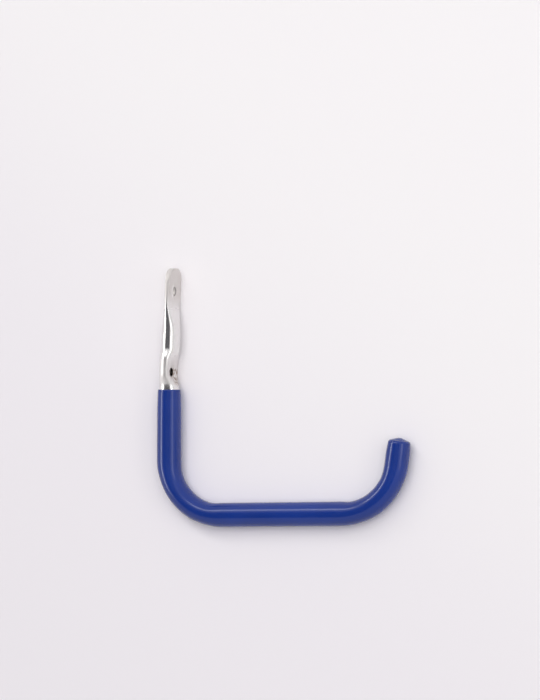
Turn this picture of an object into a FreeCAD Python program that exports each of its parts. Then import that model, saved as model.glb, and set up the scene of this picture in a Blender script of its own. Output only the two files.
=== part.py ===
import FreeCAD, Part
import math
import os
import Sketcher
from FreeCAD import Placement, Rotation, Vector

# Garage utility hook: a round steel tube bent into a J, with a crushed and pierced
# mounting flange at its top and a dipped vinyl coating over the rest.
# Millimetres. +Z is up along the flange, +X points away from the wall, and the hook
# lies in the XZ plane. The origin is midway between the screw holes, on the tube's
# centre plane.

doc = FreeCAD.newDocument("utility_hook")
sheet = doc.addObject("Spreadsheet::Sheet", "Dimensions")

# Driving dimensions
TUBE = [
    ("tube_diameter", 12.7),
    ("tube_wall", 1.5),
    ("bar_length", 54.7),
    ("bend_radius", 33.2),
    ("bend_angle", 91.8),
    ("arm_length", 81.5),
    ("tip_bend_radius", 35.4),
    ("tip_bend_angle", 80.5),
    ("tip_length", 14.0),
]
FLANGE = [
    ("flange_lean", 2.5),
    ("hole_spacing", 50.0),
    ("hole_diameter", 5.0),
    ("pad_above_hole", 14.4),
    ("pad_below_hole", 3.5),
    ("pad_width", 19.6),
    ("pad_thickness", 3.3),
    ("pad_crown_angle", 0.8),
    ("pad_corner_radius", 6.5),
    ("crush_length", 24.0),
    ("seat_half_length", 10.0),
    ("seat_width", 16.6),
    ("seat_front_depth", 2.2),
    ("seat_back_depth", 5.8),
    ("seat_lip_radius", 2.2),
    ("seat_crown_angle", 3.0),
    ("blend_length", 1.2),
]
COATING = [
    ("coat_thickness", 1.2),
    ("coat_edge_thickness", 0.8),
    ("coat_edge_drop", 11.2),
    ("coat_taper_length", 24.0),
    ("coat_cap_thickness", 1.8),
    ("coat_cap_rounding", 3.8),
]

# Sizes worked out from the driving ones
SHARED = [
    ("tube_radius", "=tube_diameter / 2"),
    ("hole_height", "=hole_spacing / 2"),
    ("pad_top", "=hole_height + pad_above_hole"),
    ("crush_top", "=hole_height - pad_below_hole"),
    ("crush_bottom", "=crush_top - crush_length"),
    ("round_angle", 45),
    ("pad_half_width", "=pad_width / 2"),
    ("pad_half_thickness", "=pad_thickness / 2"),
    ("seat_half_width", "=seat_width / 2"),
    ("flank_half_width", "=(seat_half_width + tube_radius) / 2"),
    ("flank_front_depth", "=(seat_front_depth + tube_radius) / 2"),
    ("flank_back_depth", "=(seat_back_depth + tube_radius) / 2"),
    ("flank_lip_radius", "=(2 * seat_lip_radius + tube_radius) / 3"),
    ("flank_crown_angle", "=(seat_crown_angle + round_angle) / 2"),
]
CRUSH_STEPS = ("opening", "middle", "closing", "flat")


def crush_rows(name, step):
    """Rows for one section of the crush, where the steps run from 0, round, to the last, flat.

    The depth falls along half a cosine wave, and the width grows in step with it."""
    formulas = {
        "flatness": "(1 - cos(180 * %d / %d)) / 2" % (step, len(CRUSH_STEPS)),
        "half_depth": "tube_radius + (pad_half_thickness - tube_radius) * {0}_flatness",
        "half_width": "tube_radius + (pad_half_width - tube_radius) * {0}_flatness",
        "front_angle": "round_angle + (pad_crown_angle - round_angle) * {0}_flatness",
        "back_angle": "{0}_front_angle",
        "slope": "tan({0}_front_angle / 2)",
        "side": "({0}_half_depth - {0}_slope * {0}_half_width) / (1 - {0}_slope)",
        "reach": "{0}_half_width - {0}_side",
    }
    return [(name + "_" + key, "=" + formula.format(name)) for key, formula in formulas.items()]


def seat_rows(name):
    """Rows for one section of the pressed seat, whose front is flatter than its back."""
    formulas = {
        "front_angle": "{0}_crown_angle",
        "side": "{0}_lip_radius",
        "reach": "{0}_half_width - {0}_side",
        "shift": "{0}_front_depth - {0}_side - {0}_reach * tan({0}_crown_angle / 2)",
        "back_angle": "2 * atan(({0}_back_depth + {0}_shift - {0}_side) / {0}_reach) / 1 deg",
    }
    return [(name + "_" + key, "=" + formula.format(name)) for key, formula in formulas.items()]


def fill_sheet():
    """Writes each size's name beside its value or formula, and names the cell."""
    rows = TUBE + FLANGE + COATING + SHARED
    for step, name in enumerate(CRUSH_STEPS, start=1):
        rows = rows + crush_rows(name, step)
    rows = rows + seat_rows("seat") + seat_rows("flank")
    for number, (alias, content) in enumerate(rows, start=1):
        sheet.set("A%d" % number, alias)
        sheet.set("B%d" % number, str(content))
        sheet.setAlias("B%d" % number, alias)
    doc.recompute()


def size(alias):
    """The present value of one cell."""
    return float(sheet.get(alias))


def new_body(label):
    body = doc.addObject("PartDesign::Body", label)
    body.Label = label
    return body


def new_sketch(body, name, plane, offset):
    """A sketch on one of the body's own origin planes, moved by the given placement."""
    sketch = body.newObject("Sketcher::SketchObject", name)
    support = [item for item in body.Origin.OriginFeatures if item.Role == plane][0]
    sketch.AttachmentSupport = (support, "")
    sketch.MapMode = "FlatFace"
    sketch.AttachmentOffset = offset
    return sketch


def constrain(sketch, kind, *places, name=None, formula=None):
    """Adds a constraint. A size also gets a name and an expression over the sheet."""
    index = sketch.addConstraint(Sketcher.Constraint(kind, *places))
    if name:
        sketch.renameConstraint(index, name)
        sketch.setExpression("Constraints." + name, formula)


def driven(sketch, kind, *places, name, alias):
    """Adds a size that follows one cell of the sheet."""
    constrain(sketch, kind, *places, size(alias), name=name, formula="Dimensions." + alias)


# Sketcher's numbers for a curve's start, end and centre, and for the sketch's own
# origin and axes
START, END, CENTRE = range(1, 4)
ORIGIN = X_AXIS = -START
Y_AXIS = -END


def turned(angle):
    """The direction at an angle in degrees from a sketch's own x axis."""
    return Vector(math.cos(math.radians(angle)), math.sin(math.radians(angle)), 0)


def arc(centre, radius, start, end):
    circle = Part.Circle(centre, Vector(0, 0, 1), radius)
    return Part.ArcOfCircle(circle, math.radians(start), math.radians(end))


def station_sketch(body, name, drop=None, height=None, share="1", shift="0"):
    """A sketch across the tube. Above the lower hole it is level, at a height. From
    that hole down it is square to the leaning bar, at a drop below the hole."""
    if height is not None:
        sketch = new_sketch(body, name, "XY_Plane", Placement())
        sketch.setExpression("AttachmentOffset.Base.z", height)
        sketch.setExpression("AttachmentOffset.Base.x", shift)
        return sketch
    tilt = Rotation(Vector(0, 1, 0), -size("flange_lean"))
    sketch = new_sketch(body, name, "XY_Plane", Placement(Vector(), tilt))
    lean = "(%s) * Dimensions.flange_lean" % share
    sketch.setExpression("AttachmentOffset.Rotation.Angle", lean)
    sideways = "(%s) * sin({0}) + (%s) * cos({0})".format(lean) % (drop, shift)
    downwards = "-Dimensions.hole_height - (%s) * cos({0}) + (%s) * sin({0})".format(lean) % (drop, shift)
    sketch.setExpression("AttachmentOffset.Base.x", sideways)
    sketch.setExpression("AttachmentOffset.Base.z", downwards)
    return sketch


def quartered_circle(sketch, formula, radius):
    """A circle in four quarters, so that it lofts to the four arcs of the other sections."""
    for quarter in range(4):
        sketch.addGeometry(arc(Vector(), radius, 90 * quarter - 45, 90 * quarter + 45), False)
    for quarter in range(4):
        constrain(sketch, "Coincident", quarter, END, (quarter + 1) % 4, START)
        constrain(sketch, "Coincident", quarter, CENTRE, ORIGIN, START)
    constrain(sketch, "Radius", 0, radius, name="radius", formula=formula)
    constrain(sketch, "Symmetric", 0, START, 0, END, X_AXIS)
    constrain(sketch, "Symmetric", 2, START, 2, END, X_AXIS)
    depth = radius * math.cos(math.pi / 4)
    cosine = "(%s) * cos(Dimensions.round_angle)" % formula
    constrain(sketch, "DistanceX", ORIGIN, START, 0, END, depth, name="front", formula=cosine)
    constrain(sketch, "DistanceX", 2, START, ORIGIN, START, depth, name="back", formula=cosine)


def circle_sketch(body, name, drop, formula, radius):
    """A circle square to the bar, for the sweeps along the J and the coating's taper."""
    sketch = station_sketch(body, name, drop=drop)
    quartered_circle(sketch, formula, radius)
    return sketch


def oval_section(sketch, name, inset):
    """Front arc, side arc, back arc, side arc, each tangent to the next. The side arcs'
    centres lie on the sketch's own y axis. The inset takes the tube's wall off."""
    side = size(name + "_side") - inset * size("tube_wall")
    reach = size(name + "_reach")
    front = size(name + "_front_angle")
    back = size(name + "_back_angle")
    front_radius = reach / math.sin(math.radians(front)) + side
    back_radius = reach / math.sin(math.radians(back)) + side
    front_centre = Vector((side - front_radius) * math.cos(math.radians(front)), 0, 0)
    back_centre = Vector((back_radius - side) * math.cos(math.radians(back)), 0, 0)
    far = Vector(0, reach, 0)
    sketch.addGeometry(arc(front_centre, front_radius, -front, front), False)
    sketch.addGeometry(arc(far, side, front, 180 - back), False)
    sketch.addGeometry(arc(back_centre, back_radius, 180 - back, 180 + back), False)
    sketch.addGeometry(arc(-far, side, 180 + back, 360 - front), False)
    for index in range(4):
        constrain(sketch, "Coincident", index, END, (index + 1) % 4, START)
    parts = {key: "Dimensions.%s_%s" % (name, key) for key in ("reach", "front_angle", "back_angle")}
    parts["side"] = "(Dimensions.%s_side - %d * Dimensions.tube_wall)" % (name, inset)
    front_size = "{reach} / sin({front_angle}) + {side}".format(**parts)
    back_size = "{reach} / sin({back_angle}) + {side}".format(**parts)
    front_join = "{reach} + {side} * sin({front_angle})".format(**parts)
    back_join = "{reach} + {side} * sin({back_angle})".format(**parts)
    front_height = reach + side * math.sin(math.radians(front))
    back_height = reach + side * math.sin(math.radians(back))
    constrain(sketch, "PointOnObject", 1, CENTRE, Y_AXIS)
    constrain(sketch, "Symmetric", 1, CENTRE, 3, CENTRE, ORIGIN, START)
    driven(sketch, "DistanceY", ORIGIN, START, 1, CENTRE, name="reach", alias=name + "_reach")
    constrain(sketch, "Radius", 1, side, name="side", formula=parts["side"])
    constrain(sketch, "Equal", 1, 3)
    constrain(sketch, "DistanceY", ORIGIN, START, 1, START, front_height, name="join", formula=front_join)
    constrain(sketch, "DistanceY", ORIGIN, START, 1, END, back_height, name="seam", formula=back_join)
    constrain(sketch, "Vertical", 0, START, 0, END)
    constrain(sketch, "Vertical", 2, START, 2, END)
    constrain(sketch, "Radius", 0, front_radius, name="front", formula=front_size)
    constrain(sketch, "Radius", 2, back_radius, name="back", formula=back_size)


def flange_sections(body, kind, inset):
    """The sections of the flange from the coating's edge up, as two runs: the pressed
    seat, and the crush from the round tube to the flat pad."""
    radius_formula = "Dimensions.tube_radius - %d * Dimensions.tube_wall" % inset
    radius = size("tube_radius") - inset * size("tube_wall")

    def round_at(label, **where):
        sketch = station_sketch(body, kind + label, **where)
        quartered_circle(sketch, radius_formula, radius)
        return sketch

    def oval_at(label, section, **where):
        sketch = station_sketch(body, kind + label, **where)
        oval_section(sketch, section, inset)
        return sketch

    half = "Dimensions.seat_half_length"
    foot = "-Dimensions.hole_height"
    blend = "Dimensions.blend_length"
    flank_shift = "Dimensions.flank_shift"
    seat = [
        round_at("SeatEdge", drop="Dimensions.coat_edge_drop"),
        round_at("SeatBottom", drop=half),
        oval_at("SeatLowerFlank", "flank", drop=half + " / 2", shift=flank_shift),
        oval_at("SeatMiddle", "seat", drop="0", share="1 / 2", shift="Dimensions.seat_shift"),
        oval_at("SeatUpperFlank", "flank", height="%s + %s / 2" % (foot, half), shift=flank_shift),
        round_at("SeatTop", height="%s + %s" % (foot, half)),
        round_at("SeatBlend", height="%s + %s + %s" % (foot, half, blend)),
    ]
    bottom = "Dimensions.crush_bottom"
    crush = [
        round_at("CrushBlend", height="%s - %s" % (bottom, blend)),
        round_at("CrushBottom", height=bottom),
    ]
    for step, name in enumerate(CRUSH_STEPS, start=1):
        height = "%s + Dimensions.crush_length * %d / %d" % (bottom, step, len(CRUSH_STEPS))
        crush.append(oval_at("Crush" + name.title(), name, height=height))
    return seat, crush


def path_sketch(body, name, start_drop, tip_length):
    """The tube's centre line: bar, bend, arm, bend and tip, each tangent to the next.
    The sketch's own origin is at the lower hole and its y axis is the leaning bar."""
    lean = Rotation(Vector(0, 0, 1), size("flange_lean"))
    foot = Vector(0, -size("hole_height"), 0)
    sketch = new_sketch(body, name, "XZ_Plane", Placement(foot, lean))
    sketch.setExpression("AttachmentOffset.Base.y", "-Dimensions.hole_height")
    sketch.setExpression("AttachmentOffset.Rotation.Angle", "Dimensions.flange_lean")

    bend, tip_bend = size("bend_angle"), size("tip_bend_angle")
    radius, tip_radius = size("bend_radius"), size("tip_bend_radius")
    turn_start = Vector(0, -size("bar_length"), 0)
    turn_centre = turn_start + radius * turned(0)
    turn_end = turn_centre - radius * turned(bend)
    arm_end = turn_end + size("arm_length") * turned(bend - 90)
    tip_centre = arm_end + tip_radius * turned(bend)
    tip_start = tip_centre - tip_radius * turned(bend + tip_bend)
    tip_end = tip_start + size("tip_length") * turned(bend + tip_bend - 90)

    sketch.addGeometry(Part.LineSegment(Vector(0, -size("coat_edge_drop"), 0), turn_start), False)
    sketch.addGeometry(arc(turn_centre, radius, 180, 180 + bend), False)
    sketch.addGeometry(Part.LineSegment(turn_end, arm_end), False)
    sketch.addGeometry(arc(tip_centre, tip_radius, 180 + bend, 180 + bend + tip_bend), False)
    sketch.addGeometry(Part.LineSegment(tip_start, tip_end), False)
    for index in range(4):
        constrain(sketch, "Tangent", index, END, index + 1, START)
    constrain(sketch, "Vertical", 0)
    constrain(sketch, "PointOnObject", 0, START, Y_AXIS)
    drop, length = size("coat_edge_drop"), size("tip_length")
    constrain(sketch, "DistanceY", 0, START, ORIGIN, START, drop, name="start", formula=start_drop)
    driven(sketch, "DistanceY", 0, END, ORIGIN, START, name="upright", alias="bar_length")
    driven(sketch, "Radius", 1, name="bend", alias="bend_radius")
    driven(sketch, "Distance", 2, name="arm", alias="arm_length")
    driven(sketch, "Radius", 3, name="tip_bend", alias="tip_bend_radius")
    constrain(sketch, "Distance", 4, length, name="tip", formula=tip_length)
    rise, heading = math.radians(bend - 90), math.radians(bend + tip_bend - 90)
    rise_formula = "Dimensions.bend_angle * 1 deg - 90 deg"
    heading_formula = "(Dimensions.bend_angle + Dimensions.tip_bend_angle) * 1 deg - 90 deg"
    constrain(sketch, "Angle", 2, rise, name="rise", formula=rise_formula)
    constrain(sketch, "Angle", 4, heading, name="heading", formula=heading_formula)
    return sketch


def sweep(body, kind, name, profile, path):
    pipe = body.newObject("PartDesign::" + kind, name)
    pipe.Profile = (profile, [""])
    pipe.Spine = (path, [""])
    return pipe


def loft(body, kind, name, sections):
    feature = body.newObject("PartDesign::" + kind, name)
    feature.Profile = (sections[0], [""])
    feature.Sections = [(section, [""]) for section in sections[1:]]
    return feature


def make_steel_tube():
    """One bent tube. The outside and the bore are made in the same steps: a sweep for
    the J, a loft for the pressed seat and a loft for the crush."""
    body = new_body("steel_tube")
    edge_drop = "Dimensions.coat_edge_drop"
    radius, bore_radius = size("tube_radius"), size("tube_radius") - size("tube_wall")
    bore_formula = "Dimensions.tube_radius - Dimensions.tube_wall"
    profile = circle_sketch(body, "TubeProfile", edge_drop, "Dimensions.tube_radius", radius)
    path = path_sketch(body, "TubePath", edge_drop, "Dimensions.tip_length")
    sweep(body, "AdditivePipe", "BentTube", profile, path)
    seat, crush = flange_sections(body, "Outer", 0)
    loft(body, "AdditiveLoft", "PressedSeat", seat)
    loft(body, "AdditiveLoft", "RoundSwell", [seat[-1], crush[0]])
    loft(body, "AdditiveLoft", "CrushedEnd", crush)
    pad = body.newObject("PartDesign::Pad", "FlatPad")
    pad.Profile = (crush[-1], [""])
    pad.setExpression("Length", "Dimensions.pad_top - Dimensions.crush_top")

    bore_profile = circle_sketch(body, "BoreProfile", edge_drop, bore_formula, bore_radius)
    bore_path = path_sketch(body, "BorePath", edge_drop, "Dimensions.tip_length")
    sweep(body, "SubtractivePipe", "Bore", bore_profile, bore_path)
    bore_seat, bore_crush = flange_sections(body, "Bore", 1)
    loft(body, "SubtractiveLoft", "SeatBore", bore_seat)
    loft(body, "SubtractiveLoft", "SwellBore", [bore_seat[-1], bore_crush[0]])
    loft(body, "SubtractiveLoft", "CrushedBore", bore_crush)
    round_pad_corners(body)
    pierce_holes(body)
    return body


CORNER_SIZES = ("corner", "inwards", "downwards", "top")


def round_pad_corners(body):
    """Trims both top corners of the pad to an arc, seen from the front."""
    sketch = new_sketch(body, "CornerTrim", "YZ_Plane", Placement())
    half_width, top, radius = size("pad_half_width"), size("pad_top"), size("pad_corner_radius")
    for index, way in enumerate((1, -1)):
        first = 3 * index
        inner = Vector(way * (half_width - radius), top, 0)
        lower = Vector(way * half_width, top - radius, 0)
        corner = Vector(way * half_width, top, 0)
        angles = (0, 90) if way == 1 else (90, 180)
        centre = Vector(way * (half_width - radius), top - radius, 0)
        sketch.addGeometry(arc(centre, radius, *angles), False)
        sketch.addGeometry(Part.LineSegment(inner, corner), False)
        sketch.addGeometry(Part.LineSegment(corner, lower), False)
        arc_inner, arc_lower = (END, START) if way == 1 else (START, END)
        constrain(sketch, "Coincident", first, arc_inner, first + 1, START)
        constrain(sketch, "Coincident", first + 1, END, first + 2, START)
        constrain(sketch, "Coincident", first + 2, END, first, arc_lower)
        constrain(sketch, "Horizontal", first + 1)
        constrain(sketch, "Vertical", first + 2)
        radius_size, inwards, downwards, height = [key + str(index) for key in CORNER_SIZES]
        driven(sketch, "Radius", first, name=radius_size, alias="pad_corner_radius")
        driven(sketch, "Distance", first + 1, name=inwards, alias="pad_corner_radius")
        driven(sketch, "Distance", first + 2, name=downwards, alias="pad_corner_radius")
        driven(sketch, "DistanceY", ORIGIN, START, first + 1, END, name=height, alias="pad_top")
    driven(sketch, "DistanceX", ORIGIN, START, 1, END, name="far", alias="pad_half_width")
    driven(sketch, "DistanceX", 4, END, ORIGIN, START, name="near", alias="pad_half_width")
    pocket = body.newObject("PartDesign::Pocket", "RoundedCorners")
    pocket.Profile = (sketch, [""])
    pocket.Type = "ThroughAll"
    pocket.SideType = "Symmetric"


def pierce_holes(body):
    """Both screw holes, square to the flange and through front and back walls."""
    sketch = new_sketch(body, "HoleCentres", "YZ_Plane", Placement())
    radius = size("hole_diameter") / 2
    for index, way in enumerate((1, -1)):
        centre = Vector(0, way * size("hole_height"), 0)
        sketch.addGeometry(Part.Circle(centre, Vector(0, 0, 1), radius), False)
        constrain(sketch, "PointOnObject", index, CENTRE, Y_AXIS)
    driven(sketch, "Diameter", 0, name="hole", alias="hole_diameter")
    constrain(sketch, "Equal", 0, 1)
    driven(sketch, "DistanceY", 1, CENTRE, 0, CENTRE, name="spacing", alias="hole_spacing")
    driven(sketch, "DistanceY", ORIGIN, START, 0, CENTRE, name="height", alias="hole_height")
    pocket = body.newObject("PartDesign::Pocket", "ScrewHoles")
    pocket.Profile = (sketch, [""])
    pocket.Type = "ThroughAll"
    pocket.SideType = "Symmetric"


def make_vinyl_coating():
    """The dipped skin: thin at its edge, full along the J and closed over the tip."""
    body = new_body("vinyl_coating")
    edge_drop = "Dimensions.coat_edge_drop"
    full_drop = "Dimensions.coat_edge_drop + Dimensions.coat_taper_length"
    full = "Dimensions.tube_radius + Dimensions.coat_thickness"
    thin = "Dimensions.tube_radius + Dimensions.coat_edge_thickness"

    radius = size("tube_radius")
    edge = circle_sketch(body, "CoatEdge", edge_drop, thin, radius + size("coat_edge_thickness"))
    start = circle_sketch(body, "CoatFull", full_drop, full, radius + size("coat_thickness"))
    capped = "Dimensions.tip_length + Dimensions.coat_cap_thickness"
    path = path_sketch(body, "CoatPath", full_drop, capped)
    sweep(body, "AdditivePipe", "CoatedLength", start, path)
    skin = loft(body, "AdditiveLoft", "TaperedEdge", [edge, start])
    doc.recompute()

    rounding = body.newObject("PartDesign::Fillet", "RoundedTip")
    rounding.Base = (skin, tip_edges(skin.Shape))
    rounding.setExpression("Radius", "Dimensions.coat_cap_rounding")
    doc.recompute()

    bore = circle_sketch(body, "CoatBore", edge_drop, "Dimensions.tube_radius", radius)
    bore_path = path_sketch(body, "CoatBorePath", edge_drop, "Dimensions.tip_length")
    sweep(body, "SubtractivePipe", "TubeSpace", bore, bore_path)
    return body


def tip_edges(shape):
    """The edges of the flat end face, which is the plane face furthest out in +X."""
    faces = [face for face in shape.Faces if isinstance(face.Surface, Part.Plane)]
    end = max(faces, key=lambda face: face.CenterOfMass.x)
    names = []
    for number, edge in enumerate(shape.Edges, start=1):
        if any(edge.isSame(other) for other in end.Edges):
            names.append("Edge%d" % number)
    return names


def check_and_write(bodies):
    """Stops on any failed object or bad shape, then writes one STEP file for each body."""
    doc.recompute()
    for item in doc.Objects:
        if "Invalid" in item.State or "Error" in item.State:
            raise RuntimeError("%s failed: %s" % (item.Name, item.State))
    os.makedirs("parts", exist_ok=True)
    for body in bodies:
        shape = body.Shape
        if shape.isNull() or not shape.isValid() or len(shape.Solids) != 1:
            raise RuntimeError("%s has no single valid solid" % body.Label)
        shape.exportStep("parts/%s.step" % body.Label)
        print("%s: volume %.1f mm3" % (body.Label, shape.Volume), shape.BoundBox)


fill_sheet()
check_and_write([make_steel_tube(), make_vinyl_coating()])
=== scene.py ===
# %% [markdown]
# # Garage utility hook
# A steel tube is bent into a J. Its upper end is crushed flat for one screw and pressed
# in for another, and the rest is dipped in blue vinyl. This notebook dresses the CAD
# model of it. The CAD solids could be kept and given materials, but the real tube has
# soft dents and rolled edges that are easier to shape as formulas, so two numpy surfaces
# take the solids' place. Both follow the same centre line, so they fit each other as the
# real tube and its skin do.

# %% The frame
import math

import bmesh
import bpy
import numpy as np
from mathutils import Matrix, Vector


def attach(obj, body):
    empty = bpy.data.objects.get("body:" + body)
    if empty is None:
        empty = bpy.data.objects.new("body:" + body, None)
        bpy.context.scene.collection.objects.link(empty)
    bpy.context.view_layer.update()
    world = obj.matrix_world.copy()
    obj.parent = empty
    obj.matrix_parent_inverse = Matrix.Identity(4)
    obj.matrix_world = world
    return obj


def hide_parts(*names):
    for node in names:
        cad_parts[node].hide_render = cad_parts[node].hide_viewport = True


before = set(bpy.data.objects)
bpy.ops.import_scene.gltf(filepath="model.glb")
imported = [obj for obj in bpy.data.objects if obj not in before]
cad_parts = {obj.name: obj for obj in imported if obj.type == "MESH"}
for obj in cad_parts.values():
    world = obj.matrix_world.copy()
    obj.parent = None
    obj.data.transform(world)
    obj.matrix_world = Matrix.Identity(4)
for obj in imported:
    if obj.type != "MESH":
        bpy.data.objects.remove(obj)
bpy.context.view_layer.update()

# %% [markdown]
# ## Sizes
# All the sizes are in millimetres here, as a tube bender would note them, and turn into
# metres only when a mesh is made. The distance along the tube, called s, starts at the
# pad's top edge and grows downwards, round both bends, to the tip. Places along the tube
# could be heights, but s keeps its meaning where the tube turns.

# %% Sizes of the tube
TUBE_RADIUS = 6.35
TUBE_WALL = 1.5
PAD_TOP = 39.4
HOLE_RADIUS = 2.5
UPPER_HOLE = PAD_TOP - 25.0
LOWER_HOLE = PAD_TOP + 25.0
COAT_EDGE = LOWER_HOLE + 10.8
LEAN = math.radians(2.5)
LEAN_LENGTH = 10.0
BEND_RADIUS, BEND_ANGLE = 33.2, math.radians(91.8)
TIP_BEND_RADIUS, TIP_BEND_ANGLE = 35.4, math.radians(80.5)
BEND_START = LOWER_HOLE + 54.7
BEND_END = BEND_START + BEND_RADIUS * BEND_ANGLE
TIP_BEND_START = BEND_END + 81.5
TIP_BEND_END = TIP_BEND_START + TIP_BEND_RADIUS * TIP_BEND_ANGLE
TUBE_END = TIP_BEND_END + 14.0
COAT_PEAK = TUBE_END + 2.1
print("tube length %.1f mm, coated from %.1f mm" % (TUBE_END, COAT_EDGE))

# %% [markdown]
# ## The centre line
# The line could be drawn as runs and arcs joined end to end. But a bender thinks in
# headings: straight on, then so many degrees over so many millimetres. So the heading
# comes first, as a sum of clipped ramps, and the points follow from it by adding up small
# steps. One array holds the whole line, and every surface looks its places up in that.

# %% Heading and centre line
LINE_STEP = 0.05
LINE_SPARE = 2.0


def heading_at(s):
    """Heading from straight down, in radians: the lean, then each bend, as ramps in s.
    A ramp is the share of its own length that s has passed, kept between 0 and 1."""
    lean = np.clip((s - LOWER_HOLE + LEAN_LENGTH / 2) / LEAN_LENGTH, 0, 1) * LEAN
    bend = np.clip((s - BEND_START) / BEND_RADIUS, 0, BEND_ANGLE)
    tip_bend = np.clip((s - TIP_BEND_START) / TIP_BEND_RADIUS, 0, TIP_BEND_ANGLE)
    return lean + bend + tip_bend


line_s = np.arange(0, COAT_PEAK + LINE_SPARE, LINE_STEP)
middle = heading_at(line_s[:-1] + LINE_STEP / 2)
steps = LINE_STEP * np.stack([np.sin(middle), -np.cos(middle)], axis=1)
line_xz = np.concatenate([[[0.0, PAD_TOP]], np.cumsum(steps, axis=0) + [0.0, PAD_TOP]])


def along(s, y, depth):
    """Points at a distance s along the tube, y across it, and depth out from its centre
    line towards the inside of the bends: centre(s) + depth * normal(s) + y * Y."""
    heading = heading_at(s)
    x = np.interp(s, line_s, line_xz[:, 0]) + depth * np.cos(heading)
    z = np.interp(s, line_s, line_xz[:, 1]) + depth * np.sin(heading)
    return np.stack(np.broadcast_arrays(x, y, z), axis=-1)


print("tip at", np.round(along(np.array(COAT_PEAK), 0.0, 0.0), 2))

# %% [markdown]
# ## Where the tube is crushed and pressed
# A press flattens the top of the real tube and a round die sinks the seat round the lower
# hole. Both could be sculpted, but a number that runs smoothly from 0, untouched, to 1,
# fully pressed, is easier to move about: every size of the section can follow it. The
# seat's front has a weight of its own, called press, because the dent reaches half a
# millimetre lower than the widening does.

# %% Crush and seat weights
CRUSH_FULL, CRUSH_START = 17.9, 43.9
SEAT_ABOVE, SEAT_BELOW, SEAT_RAMP = 17.0, 10.0, 10.0
PRESS_ABOVE, PRESS_BELOW, PRESS_RAMP = 17.0, 10.5, 10.5


def eased(t):
    """0 up to t = 0 and 1 from t = 1 on, with t**3 * (6 t**2 - 15 t + 10) between, whose
    slope and curvature are both zero at its ends."""
    t = np.clip(t, 0, 1)
    return t**3 * (6 * t**2 - 15 * t + 10)


def crush_weight(s):
    """1 down to the end of the flat pad, 0 from the round tube on."""
    return eased((CRUSH_START - s) / (CRUSH_START - CRUSH_FULL))


def seat_weight(s, above, below, ramp):
    """1 round the lower hole, easing to 0 at the given lengths above and below it, over
    a ramp of its own length."""
    away = s - LOWER_HOLE
    return eased((np.where(away > 0, below, above) - np.abs(away)) / ramp)


sample_s = np.linspace(0, CRUSH_START, 5)
print("crush from the top down:", np.round(crush_weight(sample_s), 2))

# %% [markdown]
# ## Section of the steel tube
# Crushing squeezes a circle flat without tearing it. Separate outlines for the round, the
# half crushed and the flat tube would need blending, while one formula gives every stage:
# in a circle's equation the power of 2 on the width rises to 12, which flattens the faces
# and leaves a tight fold at each side. In the seat's front it rises to 4. Between the
# crush and the seat the tube never gets quite round again, and the punch drew the face
# round each hole in to a shallow dish.

# %% Section
PAD_HALF_THICKNESS, PAD_HALF_WIDTH = 1.65, 9.8
SEAT_FRONT, SEAT_BACK, SEAT_HALF_WIDTH = 3.6, 5.8, 8.8
ROUND_POWER, SEAT_POWER, FOLD_POWER = 2, 4, 12
FOLD_DELAY = 1.2
SWELL_MIDDLE, SWELL_LENGTH = 43.0, 15.0
SWELL_HALF_DEPTH, SWELL_HALF_WIDTH = 5.6, 7.1
DISHES = (  # hole, depth, length and width
    (UPPER_HOLE, 1.0, 4.2, 4.2),
    (LOWER_HOLE, 2.7, 6.5, 9.0),
)


def dish(s, y):
    """The sum over both holes of depth * exp(-(distance along / length) ** 2 -
    (distance across / width) ** 2)."""
    return sum(
        depth * np.exp(-(((s - hole) / length) ** 2) - (y / width) ** 2)
        for hole, depth, length, width in DISHES
    )


def towards(value, other, share):
    """value + (other - value) * share"""
    return value + (other - value) * share


def tube_section(s, y_share, front, inset):
    """Half width and depth of one half of the tube, front or back, for y_share from -1
    to 1: depth = half_depth * sqrt(1 - |y_share| ** power), less the dish in front."""
    crush = crush_weight(s)
    seat = seat_weight(s, SEAT_ABOVE, SEAT_BELOW, SEAT_RAMP)
    press = seat_weight(s, PRESS_ABOVE, PRESS_BELOW, PRESS_RAMP) if front else seat
    swell = (1 - crush) * np.exp(-(((s - SWELL_MIDDLE) / SWELL_LENGTH) ** 2))
    half_depth = towards(TUBE_RADIUS, SWELL_HALF_DEPTH, swell)
    half_depth = towards(half_depth, PAD_HALF_THICKNESS, crush)
    half_depth = towards(half_depth, SEAT_FRONT if front else SEAT_BACK, press) - inset
    half_width = towards(TUBE_RADIUS, SWELL_HALF_WIDTH, swell)
    half_width = towards(half_width, PAD_HALF_WIDTH, crush)
    half_width = towards(half_width, SEAT_HALF_WIDTH, seat) - inset
    power = ROUND_POWER / (1 - crush**FOLD_DELAY * (1 - ROUND_POWER / FOLD_POWER))
    if front:
        power = power + (SEAT_POWER - ROUND_POWER) * press
    depth = half_depth * np.sqrt(1 - np.abs(y_share) ** power)
    if front:
        depth = depth - dish(s, y_share * half_width) * (1 - y_share**2)
    return half_width, depth


for place, s in (("pad", CRUSH_FULL / 2), ("swell", SWELL_MIDDLE), ("seat", LOWER_HOLE)):
    width, depth = tube_section(np.array(s), np.array(0.0), True, 0.0)
    print("%s: half width %.1f mm, front %.1f mm" % (place, width, depth))

# %% [markdown]
# ## Making a mesh from grids
# Each surface is a grid of points, and a few grids together close the shape. They could
# stay separate objects, but a closed mesh has an inside, weighs what it should and shades
# smoothly over its seams. The helper below stacks the grids' points and faces, and merges
# the points that neighbours share.

# %% Mesh helpers
MM = 0.001
MERGE_DISTANCE, COLLAPSE_DISTANCE = 2e-6, 1e-6


def grid_faces(rows, columns, keep=None):
    """Quads between neighbouring rows and columns of a grid, as indices."""
    index = np.arange(rows * columns).reshape(rows, columns)
    corners = [index[:-1, :-1], index[:-1, 1:], index[1:, 1:], index[1:, :-1]]
    quads = np.stack(corners, axis=-1)
    return quads.reshape(-1, 4) if keep is None else quads[keep]


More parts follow.
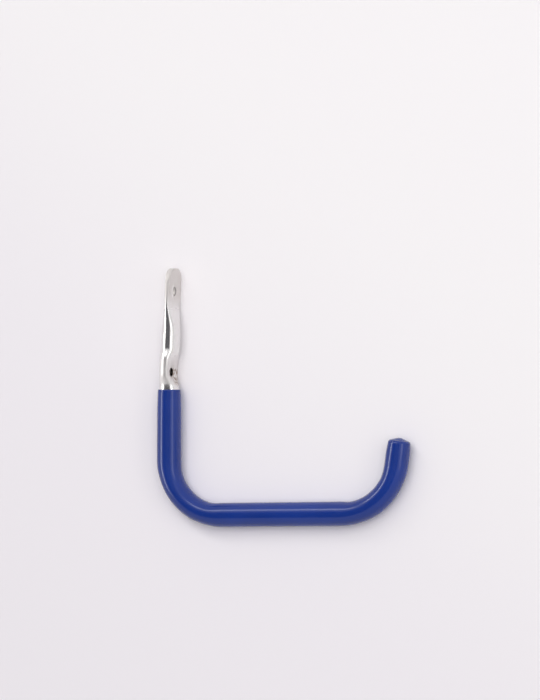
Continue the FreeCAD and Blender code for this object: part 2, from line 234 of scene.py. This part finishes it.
def mesh_from_grids(name, grids):
    """One mesh from (points, quads) pairs: shared points merge, and normals face out."""
    points, quads, start = [], [], 0
    for grid_points, grid_quads in grids:
        flat = grid_points.reshape(-1, 3)
        points.append(flat)
        quads.append(grid_quads + start)
        start += len(flat)
    points = np.concatenate(points) * MM
    quads = np.concatenate(quads)
    mesh = bpy.data.meshes.new(name)
    mesh.from_pydata(points.tolist(), [], quads.tolist())
    piece = bpy.data.objects.new(name, mesh)
    bpy.context.scene.collection.objects.link(piece)
    work = bmesh.new()
    work.from_mesh(mesh)
    bmesh.ops.remove_doubles(work, verts=work.verts, dist=MERGE_DISTANCE)
    bmesh.ops.dissolve_degenerate(work, edges=work.edges, dist=COLLAPSE_DISTANCE)
    unused = [vert for vert in work.verts if not vert.link_faces]
    bmesh.ops.delete(work, geom=unused, context="VERTS")
    bmesh.ops.recalc_face_normals(work, faces=work.faces)
    open_edges = sum(1 for edge in work.edges if not edge.is_manifold)
    work.to_mesh(mesh)
    work.free()
    mesh.shade_smooth()
    print("%s: %d faces, %d open edges" % (name, len(mesh.polygons), open_edges))
    return piece


print("a grid of 3 by 4 points has", len(grid_faces(3, 4)), "quads")

# %% [markdown]
# ## The steel tube's two skins
# A real tube has an outside and a bore. A Solidify modifier could give the wall, but it
# folds over itself where the pad is crushed, so both skins come from the same section,
# the bore's a wall thickness smaller. The rows lie close where the tube is shaped and
# wide apart under the coating, and at the top they follow the pad's round corners.

# %% Rows and skins
HALF_COLUMNS = 49
PAD_CORNER, CORNER_ROWS = 9.3, 17
OPEN_SPACING, HIDDEN_SPACING = 0.5, 2.0
SLIT_GAP = 0.2  # least distance from the slit to the next row of the bore

turn = np.linspace(-np.pi / 2, np.pi / 2, HALF_COLUMNS)
y_shares = np.sin(turn)
corner_rows = PAD_CORNER * (1 - np.cos(np.linspace(0, np.pi / 2, CORNER_ROWS)))
open_rows = np.arange(PAD_CORNER + OPEN_SPACING, COAT_EDGE, OPEN_SPACING)
hidden_rows = np.arange(COAT_EDGE + OPEN_SPACING, TUBE_END, HIDDEN_SPACING)
outer_s = np.concatenate([corner_rows, open_rows, hidden_rows, [TUBE_END]])
bore_s = np.concatenate([[CRUSH_FULL], outer_s[outer_s > CRUSH_FULL + SLIT_GAP]])


def trimmed_width(s, half_width):
    """The pad's half width where its top corners are cut to arcs: half_width - radius +
    sqrt(radius ** 2 - drop ** 2), with drop the height above the arcs' centres."""
    drop = np.clip(PAD_CORNER - s, 0, PAD_CORNER)
    return half_width - PAD_CORNER + np.sqrt(PAD_CORNER**2 - drop**2)


def skin(s, y_share, front, inset):
    """Points of a skin, at y = y_share * half_width(s) and the section's depth there."""
    half_width, depth = tube_section(s, y_share, front, inset)
    return along(s, y_share * half_width, depth if front else -depth)


def trimmed_skin(s, y_share, front):
    """As skin, but y stops at the cut corners, where the depth is that of a whole pad."""
    half_width, _ = tube_section(s, 0 * y_share, front, 0.0)
    y = y_share * trimmed_width(s, half_width)
    _, depth = tube_section(s, np.clip(y / half_width, -1, 1), front, 0.0)
    return along(s, y, depth if front else -depth)


print("%d rows outside, %d in the bore" % (len(outer_s), len(bore_s)))

# %% [markdown]
# ## The screw holes
# Each hole is punched, so its edge is rolled over. A Boolean modifier would cut a sharp
# edge with long thin faces round it. Here each skin's grid leaves a window round the
# hole, and a patch fills it: the patch's outer ring is the window's edge, its inner rings
# are circles, and the last few rings roll over into the hole.

# %% Windows and patches
WINDOW_HALF_LENGTH, WINDOW_HALF_SHARE = 4.6, 0.72
PATCH_RINGS, RING_POWER = 7, 1.3
ROLL, ROLL_RINGS = 0.4, 5


def window(s_rows, hole):
    """The first and last row and column of the grid within a hole's window."""
    rows = np.flatnonzero(np.abs(s_rows - hole) <= WINDOW_HALF_LENGTH)
    columns = np.flatnonzero(np.abs(y_shares) <= WINDOW_HALF_SHARE)
    return rows[0], rows[-1], columns[0], columns[-1]


def kept_quads(s_rows, windows):
    """The quads of a skin's grid, less those inside the windows."""
    keep = np.ones((len(s_rows) - 1, HALF_COLUMNS - 1), bool)
    for top, bottom, left, right in windows:
        keep[top:bottom, left:right] = False
    return grid_faces(len(s_rows), HALF_COLUMNS, keep)


def window_edge(s_rows, edges):
    """s and y_share of the window's edge points, once round and back to the first."""
    top, bottom, left, right = edges
    rows = np.arange(top, bottom + 1)
    columns = np.arange(left, right + 1)
    ring_s = np.concatenate([
        np.full(len(columns) - 1, s_rows[top]),
        s_rows[rows[:-1]],
        np.full(len(columns) - 1, s_rows[bottom]),
        s_rows[rows[:0:-1]],
        s_rows[[top]],
    ])
    ring_share = np.concatenate([
        y_shares[columns[:-1]],
        np.full(len(rows) - 1, y_shares[right]),
        y_shares[columns[:0:-1]],
        np.full(len(rows) - 1, y_shares[left]),
        y_shares[[left]],
    ])
    return ring_s, ring_share


def depth_at(s, y, front, inset):
    """The section's depth at y across the tube, rather than at a share of its width."""
    half_width, _ = tube_section(s, 0 * y, front, inset)
    return tube_section(s, np.clip(y / half_width, -1, 1), front, inset)[1]


def hole_patch(s_rows, edges, hole, front, inset, roll):
    """Rings from the window's edge to the hole: (s, y) = circle + (edge - circle) * v,
    with v from 1 to 0, and then a quarter round of the given roll radius."""
    ring_s, ring_share = window_edge(s_rows, edges)
    half_width, _ = tube_section(ring_s, 0 * ring_share, front, inset)
    ring_y = ring_share * half_width
    angle = np.arctan2(ring_s - hole, ring_y)
    v = (np.linspace(1, 0, PATCH_RINGS) ** RING_POWER)[:, None]
    radius = HOLE_RADIUS + roll
    s = towards(hole + radius * np.sin(angle), ring_s, v)
    y = towards(radius * np.cos(angle), ring_y, v)
    depth = depth_at(s, y, front, inset)
    if roll:
        bend = np.linspace(0, np.pi / 2, ROLL_RINGS)[1:, None]
        radius = HOLE_RADIUS + roll * (1 - np.sin(bend))
        rolled_s, rolled_y = hole + radius * np.sin(angle), radius * np.cos(angle)
        drop = roll * (1 - np.cos(bend))
        rolled_depth = depth_at(rolled_s, rolled_y, front, inset) - drop
        s, y = np.concatenate([s, rolled_s]), np.concatenate([y, rolled_y])
        depth = np.concatenate([depth, rolled_depth])
    return along(s, y, depth if front else -depth)


top, bottom, left, right = window(outer_s, UPPER_HOLE)
print("upper hole's window: rows %d to %d, columns %d to %d" % (top, bottom, left, right))

# %% [markdown]
# ## Closing the tube
# Front and back meet along the folds at the sides. What is left open is closed by straight
# strips between two rows of points: the wall of each hole, the tube's end, the pad's top
# edge, and the slit in which the bore ends where the crush is complete.

# %% Steel tube
STRIP_ROWS = 5


def strip(near, far):
    """A strip between two rows of points: near + (far - near) * v, with v from 0 to 1."""
    return towards(near, far, np.linspace(0, 1, STRIP_ROWS)[:, None, None])


def pad_edge(side):
    """The pad's edge in one skin: up its left corner, over its top, down its right."""
    left, top, right = side[CORNER_ROWS - 1::-1, 0], side[0, 1:-1], side[:CORNER_ROWS, -1]
    return np.concatenate([left, top, right])


grids, pad_edges, hole_rings, slit_rows = [], [], [], []
for front in (True, False):
    outer = trimmed_skin(outer_s[:, None], y_shares[None, :], front)
    upper, lower = window(outer_s, UPPER_HOLE), window(outer_s, LOWER_HOLE)
    grids.append((outer, kept_quads(outer_s, [upper, lower])))
    bore = skin(bore_s[:, None], y_shares[None, :], front, TUBE_WALL)
    bore_lower = window(bore_s, LOWER_HOLE)
    grids.append((bore, kept_quads(bore_s, [bore_lower])))
    upper_patch = hole_patch(outer_s, upper, UPPER_HOLE, front, 0.0, ROLL)
    lower_patch = hole_patch(outer_s, lower, LOWER_HOLE, front, 0.0, ROLL)
    bore_patch = hole_patch(bore_s, bore_lower, LOWER_HOLE, front, TUBE_WALL, 0.0)
    wall = strip(lower_patch[-1], bore_patch[-1])
    end = strip(outer[-1], bore[-1])
    for part in (upper_patch, lower_patch, bore_patch, wall, end):
        grids.append((part, grid_faces(*part.shape[:2])))
    pad_edges.append(pad_edge(outer))
    hole_rings.append(upper_patch[-1])
    slit_rows.append(bore[0])
for near, far in (hole_rings, pad_edges, slit_rows):
    part = strip(near, far)
    grids.append((part, grid_faces(*part.shape[:2])))
steel = mesh_from_grids("steel_tube_surface", grids)

# %% [markdown]
# ## The vinyl coating
# A dipped skin is thin at its edge, full along the tube, and it gathers at the tip, where
# the last drop hangs. A curve with a round bevel could carry it, but such a bevel can't
# turn oval in the bends, as the tube under it does. So its outside is a profile carried
# along the centre line: the radius changes with s, and over the tip it narrows, turns in
# at a shoulder and rises to a low peak. The inside lies on the steel.

# %% Profile of the coating
COAT_COLUMNS = 97
EDGE_THICKNESS, ADDED_THICKNESS, TAPER_LENGTH = 0.72, 0.5, 9.0
BEND_THINNING, TIP_BEND_THINNING = 0.08, 0.17
LIP_ROUNDING = 0.5
TIP_NARROWING, TIP_LENGTH, TIP_POWER = 0.42, 6.4, 1.3
SHOULDER_ROUNDING, SHOULDER_RADIUS = 2.2, 4.7
PEAK_RISE, PEAK_POWER = 1.4, 1.4
SHOULDER = COAT_PEAK - PEAK_RISE - SHOULDER_ROUNDING
OVAL_EASE, OVAL_REACH = 14.0, 4.0
OVAL_FLATTENING, OVAL_WIDENING = 0.065, 0.03


def coat_radius(s):
    """Outside radius: tube + edge thickness + added * (1 - exp(-distance / length)), less
    an eased thinning over each bend and a narrowing over the tip, up to the shoulder."""
    taper = 1 - np.exp(-np.clip(s - COAT_EDGE, 0, None) / TAPER_LENGTH)
    thinner = eased((s - BEND_START) / (BEND_END - BEND_START)) * BEND_THINNING
    tip_share = (s - TIP_BEND_START) / (TIP_BEND_END - TIP_BEND_START)
    thinner = thinner + eased(tip_share) * TIP_BEND_THINNING
    narrowing = np.clip((s - SHOULDER) / TIP_LENGTH + 1, 0, 1) ** TIP_POWER
    thinner = thinner + TIP_NARROWING * narrowing
    return TUBE_RADIUS + EDGE_THICKNESS + ADDED_THICKNESS * taper - thinner


def oval(s):
    """How oval the tube is: 0 on the straights, rising smoothly to 1 inside a bend."""
    into_bend, out_of_bend = s - BEND_START, BEND_END + OVAL_REACH - s
    into_tip, out_of_tip = s - TIP_BEND_START + OVAL_REACH, TIP_BEND_END - s
    first = eased(into_bend / OVAL_EASE) * eased(out_of_bend / OVAL_EASE)
    second = eased(into_tip / OVAL_EASE) * eased(out_of_tip / OVAL_EASE)
    return first + second


def coat_point(s, radius, around):
    """centre(s) + radius * (flat * cos(around) * normal + wide * sin(around) * Y)"""
    flat, wide = 1 - OVAL_FLATTENING * oval(s), 1 + OVAL_WIDENING * oval(s)
    return along(s, radius * wide * np.sin(around), radius * flat * np.cos(around))


for place, s in (("edge", COAT_EDGE), ("arm", BEND_END), ("tip", SHOULDER)):
    print("coating's radius at the %s: %.2f mm" % (place, coat_radius(s)))

# %% [markdown]
# ### Rows of the coating
# The real skin starts with a small rounded lip, and everything that curves tightly is at
# its two ends. Evenly spaced rows would cut those corners, so the lip, the shoulder and
# the peak have rows of their own, and only the long body between them is evenly spaced.

# %% Vinyl coating
BODY_SPACING, INSIDE_SPACING = 0.8, 2.0
LIP_ROWS, SHOULDER_ROWS, PEAK_ROWS = 6, 14, 14
FIT_CLEARANCE = 0.01

around = np.linspace(0, 2 * np.pi, COAT_COLUMNS)[None, :]
lip = np.linspace(np.pi / 2, 0, LIP_ROWS)
lip_s = COAT_EDGE + LIP_ROUNDING * (1 - np.sin(lip))
lip_radius = coat_radius(lip_s) - LIP_ROUNDING * (1 - np.cos(lip))
body_s = np.arange(COAT_EDGE + 2 * LIP_ROUNDING, SHOULDER, BODY_SPACING)
turn_in = np.linspace(0, np.pi / 2, SHOULDER_ROWS)
shoulder_s = SHOULDER + SHOULDER_ROUNDING * np.sin(turn_in)
shoulder_radius = towards(SHOULDER_RADIUS, coat_radius(SHOULDER), np.cos(turn_in))
peak_share = np.linspace(1, 0, PEAK_ROWS)[1:]
peak_s = COAT_PEAK - PEAK_RISE * peak_share**PEAK_POWER
peak_radius = SHOULDER_RADIUS * peak_share
profile_s = np.concatenate([lip_s, body_s, shoulder_s, peak_s])
profile_radius = np.concatenate(
    [lip_radius, coat_radius(body_s), shoulder_radius, peak_radius]
)
coat_outside = coat_point(profile_s[:, None], profile_radius[:, None], around)

inside_s = np.concatenate([np.arange(COAT_EDGE, TUBE_END, INSIDE_SPACING), [TUBE_END]])
fit_radius = TUBE_RADIUS + FIT_CLEARANCE
fit_y, fit_depth = fit_radius * np.sin(around), fit_radius * np.cos(around)
coat_inside = along(inside_s[:, None], fit_y, fit_depth)
tip_middle = along(TUBE_END + 0 * around, 0 * around, 0 * around)
coat_inside = np.concatenate([coat_inside, tip_middle])
edge_band = np.stack([coat_outside[0], coat_inside[0]])
coat = mesh_from_grids("vinyl_coating_surface", [
    (part, grid_faces(*part.shape[:2])) for part in (coat_outside, coat_inside, edge_band)
])

# %% [markdown]
# ## Materials
# A finish is a sum of masks and noises. Drawn as a web of nodes it is hard to read, so a
# small class wraps a socket and lets + - * build the Math nodes.

# %% Sockets as numbers


class Socket:
    """A value in a node tree. Sums, differences and products add Math nodes."""

    def __init__(self, tree, link):
        self.tree, self.link = tree, link

    def maths(self, operation, first, second):
        sockets = {0: first, 1: second}
        return self.tree.node("ShaderNodeMath", {"operation": operation}, sockets)["Value"]

    def __add__(self, other):
        return self.maths("ADD", self, other)

    def __radd__(self, other):
        return self.maths("ADD", other, self)

    def __sub__(self, other):
        return self.maths("SUBTRACT", self, other)

    def __rsub__(self, other):
        return self.maths("SUBTRACT", other, self)

    def __mul__(self, other):
        return self.maths("MULTIPLY", self, other)

    def power(self, other):
        return self.maths("POWER", self, other)

    def larger(self, other):
        return self.maths("MAXIMUM", self, other)

    def above(self, low, high):
        """0 below low, 1 above high, and smooth between."""
        sockets = {"Value": self, "From Min": low, "From Max": high}
        settings = {"interpolation_type": "SMOOTHSTEP"}
        return self.tree.node("ShaderNodeMapRange", settings, sockets)["Result"]


print("a socket has", [name for name in vars(Socket) if not name.startswith("_")])

# %% [markdown]
# ### Trees of nodes
# A second class holds the tree. Its one method adds any node, by its type, its settings
# and the values of its sockets. Each kind could have code of its own, but settings have
# to come before sockets for all of them, since they decide which sockets there are.

# %% Trees


class Tree:
    """The node tree of a material or a world, with one method that adds any node."""

    def __init__(self, owner):
        owner.use_nodes = True
        self.owner = owner
        self.nodes, self.links = owner.node_tree.nodes, owner.node_tree.links
        self.nodes.clear()

    def node(self, kind, settings=None, sockets=None):
        """Adds a node, sets its settings first and then its sockets, and returns its
        outputs by name."""
        made = self.nodes.new(kind)
        for key, value in (settings or {}).items():
            setattr(made, key, value)
        for key, value in (sockets or {}).items():
            if isinstance(value, Socket):
                self.links.new(value.link, made.inputs[key])
            else:
                made.inputs[key].default_value = value
        outputs = [output for output in made.outputs if output.enabled]
        return {output.name: Socket(self, output) for output in outputs}

    def place(self):
        return self.node("ShaderNodeTexCoord")["Object"]

    def place_xyz(self):
        """The place on the object as three numbers, in metres."""
        made = self.node("ShaderNodeSeparateXYZ", {}, {"Vector": self.place()})
        return made["X"], made["Y"], made["Z"]

    def stretched(self, lengthwise):
        """The place with its Z squeezed, which draws a noise out along the flange."""
        sockets = {"Vector": self.place(), "Scale": (1.0, 1.0, lengthwise)}
        return self.node("ShaderNodeMapping", {}, sockets)["Vector"]

    def noise(self, vector, scale, detail):
        sockets = {"Vector": vector, "Scale": scale, "Detail": detail}
        return self.node("ShaderNodeTexNoise", {}, sockets)["Fac"]

    def mix_colour(self, share, first, second):
        """first + (second - first) * share, colour by colour"""
        sockets = {"Factor": share, 6: first, 7: second}
        return self.node("ShaderNodeMix", {"data_type": "RGBA"}, sockets)["Result"]

    def bump(self, height, strength, distance):
        sockets = {"Height": height, "Strength": strength, "Distance": distance}
        return self.node("ShaderNodeBump", {}, sockets)["Normal"]

    def surface(self, shader, output="ShaderNodeOutputMaterial"):
        """Ends the tree with its output node, and returns its owner."""
        self.node(output, {}, {"Surface": shader})
        print("%s: %d nodes" % (self.owner.name, len(self.nodes)))
        return self.owner

    def principled(self, sockets):
        return self.surface(self.node("ShaderNodeBsdfPrincipled", {}, sockets)["BSDF"])


def material_tree(name):
    return Tree(bpy.data.materials.new(name))


print("a tree has", [name for name in vars(Tree) if not name.startswith("_")])

# %% [markdown]
# ### Marks and painted light on the flange
# The real flange is duller where a die pressed it, at the pad and in the seat, and brown
# streaks of wear run beside and below the lower hole. The upper hole's near rim has a
# painted highlight and its rolled edge a painted shade, and the lower hole's bore is
# painted dark as shade. All of them could be painted on a picture, but a mask that is a
# band or a distance on the object, in metres, needs no unwrapping and has no seams.

# %% Masks on the flange
PAD_BAND = (0.011, 0.025)
SEAT_LOW_BAND, SEAT_HIGH_BAND = (-0.036, -0.029), (-0.021, -0.012)
FRONT_BAND = (-0.0045, -0.0015)
PAD_DULLNESS = 1.5
HOLE_HEIGHT = 0.025
BORE_BAND = (0.0025, 0.0028)
HOLE_SHADE_BAND, HOLE_SHADE_DEPTH_BAND = (0.0027, 0.0030), (0.0002, 0.0008)
HIGHLIGHT_RING_BAND, NEAR_SIDE_BAND = (0.0038, 0.0056), (-0.0030, -0.0010)
STAIN_HIGH_BAND, STAIN_SIDE_BAND = (-0.024, -0.020), (-0.005, 0.000)

tree = material_tree("plated_steel")
out, across, up = tree.place_xyz()
pad = up.above(*PAD_BAND)
seat = up.above(*SEAT_LOW_BAND) * (1 - up.above(*SEAT_HIGH_BAND)) * out.above(*FRONT_BAND)
pressed = pad * PAD_DULLNESS + seat


def hole_reach(height):
    """Distance from the axis of the screw hole at the given height."""
    rise = up - height
    return (across * across + rise * rise).power(0.5)


upper_reach, lower_reach = hole_reach(HOLE_HEIGHT), hole_reach(-HOLE_HEIGHT)
bore_shadow = 1 - lower_reach.above(*BORE_BAND)
# Painted shade: the upper hole's rolled rim and the top of its wall are painted dark.
painted_hole_shade = (1 - upper_reach.above(*HOLE_SHADE_BAND)) * out.above(*HOLE_SHADE_DEPTH_BAND)
near_side = 1 - across.above(*NEAR_SIDE_BAND)
# Painted highlight: the near side of the upper hole's rim is painted brighter, and the
# same mask makes it less rough.
polish_and_painted_highlight = near_side * (1 - upper_reach.above(*HIGHLIGHT_RING_BAND))
stained = seat * (1 - up.above(*STAIN_HIGH_BAND)) * across.above(*STAIN_SIDE_BAND)
print("masks so far:", len(tree.nodes), "nodes")

# %% [markdown]
# ### Bright-plated steel
# The plating is a thin bright coat on drawn tube. It mirrors the room, but the draw lines
# and the waves that the press left pull the mirror out of shape. A picture of scratched
# metal could be wrapped round it, but noises that are drawn out along the tube can be as
# fine as the real lines. Each mark goes over the ones before it, as far as its share.

# %% Plated steel
BRIGHT, HAZY = (0.82, 0.81, 0.80, 1), (0.66, 0.62, 0.56, 1)
# Two of these colours are painted light: a painted highlight for the upper hole's near rim
# and a painted shade for its rolled edge.
DIE_WORN, PAINTED_HIGHLIGHT = (0.72, 0.69, 0.67, 1), (0.97, 0.96, 0.95, 1)
BROWN, HOLE_SHADE_COLOUR = (0.22, 0.13, 0.06, 1), (0.12, 0.11, 0.11, 1)
BORE_DARK = (0.035, 0.03, 0.03, 1)
HAZE_BAND, STREAK_BAND = (0.5, 0.75), (0.47, 0.55)
HAZE_SHARE, PRESSED_SHARE, HIGHLIGHT_SHARE = 0.25, 0.6, 0.8
STREAK_SHARE, HOLE_SHADE_SHARE = 0.75, 0.6
MIRROR_ROUGHNESS, HAZE_ROUGHNESS, PRESSED_ROUGHNESS = 0.14, 0.12, 0.30
RUBBED_POLISH = 0.7
WAVE_HEIGHT, LINE_HEIGHT = 0.9, 0.1

draw_lines = tree.noise(tree.stretched(0.06), scale=1800.0, detail=2.0)
waves = tree.noise(tree.stretched(0.45), scale=160.0, detail=2.0)
haze = tree.noise(tree.place(), scale=420.0, detail=4.0)
streaks = tree.noise(tree.stretched(0.4), scale=700.0, detail=3.0).above(*STREAK_BAND)
metal = tree.mix_colour(haze.above(*HAZE_BAND) * HAZE_SHARE, BRIGHT, HAZY)
metal = tree.mix_colour(pressed * PRESSED_SHARE, metal, DIE_WORN)
# Painted highlight on the upper hole's near rim.
metal = tree.mix_colour(polish_and_painted_highlight * HIGHLIGHT_SHARE, metal, PAINTED_HIGHLIGHT)
metal = tree.mix_colour(streaks * stained * STREAK_SHARE, metal, BROWN)
# Painted shade on the upper hole's rolled rim.
metal = tree.mix_colour(painted_hole_shade * HOLE_SHADE_SHARE, metal, HOLE_SHADE_COLOUR)
dull = pressed * (1 - polish_and_painted_highlight * RUBBED_POLISH)
height = waves * WAVE_HEIGHT + draw_lines * LINE_HEIGHT
plated = tree.principled({
    "Base Color": tree.mix_colour(bore_shadow, metal, BORE_DARK),
    "Metallic": 1.0,
    "Roughness": MIRROR_ROUGHNESS + haze * HAZE_ROUGHNESS + dull * PRESSED_ROUGHNESS,
    "Normal": tree.bump(height, strength=0.25, distance=0.0004),
})

# %% [markdown]
# ### Dipped vinyl
# The skin is a deep royal blue plastisol. A flat colour with a clear coat over it would
# look like paint. Plastisol levels before it sets, so it is glossy through one surface,
# with only a faint orange peel and long soft waves, and its blue drifts a little.

# %% Vinyl
DEEP_BLUE, FULL_BLUE = (0.004, 0.029, 0.223, 1), (0.005, 0.033, 0.250, 1)
SHADE_BAND = (0.35, 0.65)
GLOSS_ROUGHNESS, SAG_ROUGHNESS = 0.16, 0.08
SAG_HEIGHT, PEEL_HEIGHT = 0.8, 0.2

tree = material_tree("vinyl_blue")
peel = tree.noise(tree.place(), scale=700.0, detail=2.0)
sag = tree.noise(tree.place(), scale=90.0, detail=2.0)
shade = tree.noise(tree.place(), scale=35.0, detail=2.0).above(*SHADE_BAND)
height = sag * SAG_HEIGHT + peel * PEEL_HEIGHT
vinyl = tree.principled({
    "Base Color": tree.mix_colour(shade, DEEP_BLUE, FULL_BLUE),
    "Roughness": GLOSS_ROUGHNESS + sag * SAG_ROUGHNESS,
    "IOR": 1.5,
    "Normal": tree.bump(height, strength=0.12, distance=0.0005),
})

# %% [markdown]
# ## Putting the pieces on the frame
# Nothing on the hook moves, so both surfaces ride on the one body. Each gets its finish,
# and the CAD node it stands for is hidden.

# %% Pieces on the frame
for piece, finish, node, slot in (
    (steel, plated, "steel_tube", "plated_steel"),
    (coat, vinyl, "vinyl_coating", "vinyl"),
):
    piece.data.materials.append(finish)
    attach(piece, "root")
    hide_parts(node)
    print(piece.name, "stands for", node)

# %% [markdown]
# ## The camera
# The photograph looks at the hook from 22 degrees off square, from so far away that the
# lens hardly shows perspective. A camera could be placed by eye and turned until it
# fits. This one is worked out: its right, up and backward directions are the columns of
# its matrix, and its lens follows from the picture's height in pixels.

# %% Camera
VIEW_TURN = math.radians(22.0)
PICTURE_ROLL = math.radians(2.685)
CAMERA_DISTANCE = 1984.0
FOCAL_PIXELS, PICTURE_HEIGHT = 3200.0, 700.0
SENSOR_SIZE = 36.0
AIM = Vector((57.1114, 23.4579, -8.6365))

picture_up = Vector((-math.sin(PICTURE_ROLL), 0, math.cos(PICTURE_ROLL)))
hook_out = Vector((math.cos(PICTURE_ROLL), 0, math.sin(PICTURE_ROLL)))
hook_side = Vector((0, 1, 0))
right = hook_out * math.cos(VIEW_TURN) + hook_side * math.sin(VIEW_TURN)
backward = hook_out * math.sin(VIEW_TURN) - hook_side * math.cos(VIEW_TURN)

camera = bpy.data.objects.new("camera", bpy.data.cameras.new("camera"))
bpy.context.scene.collection.objects.link(camera)
camera.matrix_world = Matrix((right, picture_up, backward)).transposed().to_4x4()
camera.location = (AIM + backward * CAMERA_DISTANCE) * MM
camera.data.sensor_width = SENSOR_SIZE
camera.data.lens = SENSOR_SIZE * FOCAL_PIXELS / PICTURE_HEIGHT
camera.data.clip_end = 50.0
bpy.context.scene.camera = camera
bpy.context.scene.view_settings.view_transform = "Standard"
camera_place = [round(v, 3) for v in camera.location]
print("camera at", camera_place, "lens %.1f mm" % camera.data.lens)

# %% [markdown]
# ## The floor
# The hook lies on a pale sheet that touches the pad's edge and the arm. Its colour has a
# painted light falloff: lighter towards the upper right, darker towards the lower left. A
# solid board would do for the photograph, but it would hide the hook from behind. This is
# one rectangle that is clear when it is seen from its back, and it casts no shadow, so
# that light reaches the hook's back. It still takes the hook's shadow.

# %% Floor
FLOOR_SIZE = 8.0
ARM_TOUCH, PAD_TOUCH = Vector((0.08, 0.0076, -0.111)), Vector((0.08, 0.00985, 0.03))
# The floor's two colours are the shaded and the lit ends of a painted light falloff.
FALLOFF_ALONG, FALLOFF_UP, FALLOFF_BAND = 0.5, 0.8, (-0.10, 0.14)
PAPER_SHADED, PAPER_LIT = (0.885, 0.850, 0.885, 1), (0.925, 0.900, 0.910, 1)


def plane(name, centre, across, up, width, height):
    """A flat rectangle: centre -/+ across * width / 2 -/+ up * height / 2."""
    a, b = across * width / 2, up * height / 2
    mesh = bpy.data.meshes.new(name)
    corners = [centre - a - b, centre + a - b, centre + a + b, centre - a + b]
    mesh.from_pydata([list(corner) for corner in corners], [], [(0, 1, 2, 3)])
    made = bpy.data.objects.new(name, mesh)
    bpy.context.scene.collection.objects.link(made)
    return made


floor_up = (PAD_TOUCH - ARM_TOUCH).normalized()
floor = plane("pale_floor", ARM_TOUCH, Vector((1, 0, 0)), floor_up, FLOOR_SIZE, FLOOR_SIZE)
tree = material_tree("pale_floor")
x, _, z = tree.place_xyz()
# Painted light falloff: the floor is painted lighter towards the upper right and darker
# towards the lower left.
painted_falloff = (x * FALLOFF_ALONG + z * FALLOFF_UP).above(*FALLOFF_BAND)
paper = tree.mix_colour(painted_falloff, PAPER_SHADED, PAPER_LIT)
sheet = tree.node("ShaderNodeBsdfDiffuse", {}, {"Color": paper})["BSDF"]
clear = tree.node("ShaderNodeBsdfTransparent")["BSDF"]
behind = tree.node("ShaderNodeNewGeometry")["Backfacing"]
both = tree.node("ShaderNodeMixShader", {}, {0: behind, 1: sheet, 2: clear})["Shader"]
floor.data.materials.append(tree.surface(both))
floor.visible_shadow = False

# %% [markdown]
# ## The light
# A plain studio is lit by a pale room. One picture of such a room, wrapped round the
# scene, could do all of it, but separate lights can each be moved until their reflection
# falls on the right line. The world comes first. It is dimmer as a light than it looks,
# so that the pale background doesn't wash the object out.

# %% World
WORLD_LIGHT, WORLD_SEEN = 0.33, 0.80
WORLD_COLOUR = (1.0, 0.985, 1.0, 1)

tree = Tree(bpy.data.worlds.new("studio"))
ray = tree.node("ShaderNodeLightPath")
seen = ray["Is Camera Ray"].larger(ray["Is Glossy Ray"]).larger(ray["Is Transmission Ray"])
sockets = {"Value": seen, "To Min": WORLD_LIGHT, "To Max": WORLD_SEEN}
strength = tree.node("ShaderNodeMapRange", {}, sockets)["Result"]
sockets = {"Color": WORLD_COLOUR, "Strength": strength}
glow = tree.node("ShaderNodeBackground", {}, sockets)["Background"]
bpy.context.scene.world = tree.surface(glow, "ShaderNodeOutputWorld")

# %% [markdown]
# ### Lamps
# Three softboxes draw the bright lines on the steel and the vinyl, and two lamps lift the
# shadows. A lamp could do both, but then a line and a shadow couldn't be changed apart.
# So the left softbox shows in reflections and lights nothing that is dull, while the
# front fill and the one behind light the hook and show in no reflection.

# %% Lamps
HOOK_MIDDLE = Vector((0.07, 0.0, -0.05))
LAMPS = (  # name, degrees right and up, metres away, width, height, watts, unseen rays
    ("left_softbox", -80, 8, 2.4, 0.28, 2.4, 18, "visible_diffuse"),
    ("upper_softbox", -44, 40, 2.4, 1.8, 0.38, 9, None),
    ("right_softbox", 31, 5, 3.0, 0.75, 2.0, 8, None),
    ("front_fill", -10, 12, 2.4, 2.4, 2.0, 37, "visible_glossy"),
    ("rim_light", 170, 10, 2.0, 1.5, 1.5, 6, "visible_glossy"),
)


def direction(sideways, upwards):
    """A direction from the hook, in degrees right of the camera and above it."""
    a, e = math.radians(sideways), math.radians(upwards)
    level = backward * math.cos(a) + right * math.sin(a)
    return level * math.cos(e) + picture_up * math.sin(e)


for name, sideways, upwards, distance, width, height, watts, unseen in LAMPS:
    lamp = bpy.data.lights.new(name, "AREA")
    lamp.shape, lamp.size, lamp.size_y, lamp.energy = "RECTANGLE", width, height, watts
    made = bpy.data.objects.new(name, lamp)
    bpy.context.scene.collection.objects.link(made)
    aside = direction(sideways, upwards)
    made.matrix_world = aside.to_track_quat("Z", "Y").to_matrix().to_4x4()
    made.location = HOOK_MIDDLE + aside * distance
    if unseen:
        setattr(made, unseen, False)
    print("%s: %.0f W" % (name, watts))

# %% [markdown]
# ### Dark card
# Chrome needs something dark to mirror, and in the photograph it is the side of the room
# that the camera stands on. A darker world would dim the background too, so a card that
# only reflections see stands there instead.

# %% Dark card
CARD_SIDEWAYS, CARD_UPWARDS, CARD_DISTANCE = -27, -6, 1.0
CARD_WIDTH, CARD_HEIGHT = 1.4, 0.95
CARD_COLOUR = (0.14, 0.14, 0.15, 1)

card_aside = direction(CARD_SIDEWAYS, CARD_UPWARDS)
card_across = picture_up.cross(card_aside).normalized()
card_up = card_aside.cross(card_across)
card_middle = HOOK_MIDDLE + card_aside * CARD_DISTANCE
card = plane("dark_card", card_middle, card_across, card_up, CARD_WIDTH, CARD_HEIGHT)
card.visible_camera = card.visible_shadow = card.visible_diffuse = False
tree = material_tree("dark_card")
dark = tree.node("ShaderNodeBsdfDiffuse", {}, {"Color": CARD_COLOUR})["BSDF"]
card.data.materials.append(tree.surface(dark))

# %% [markdown]
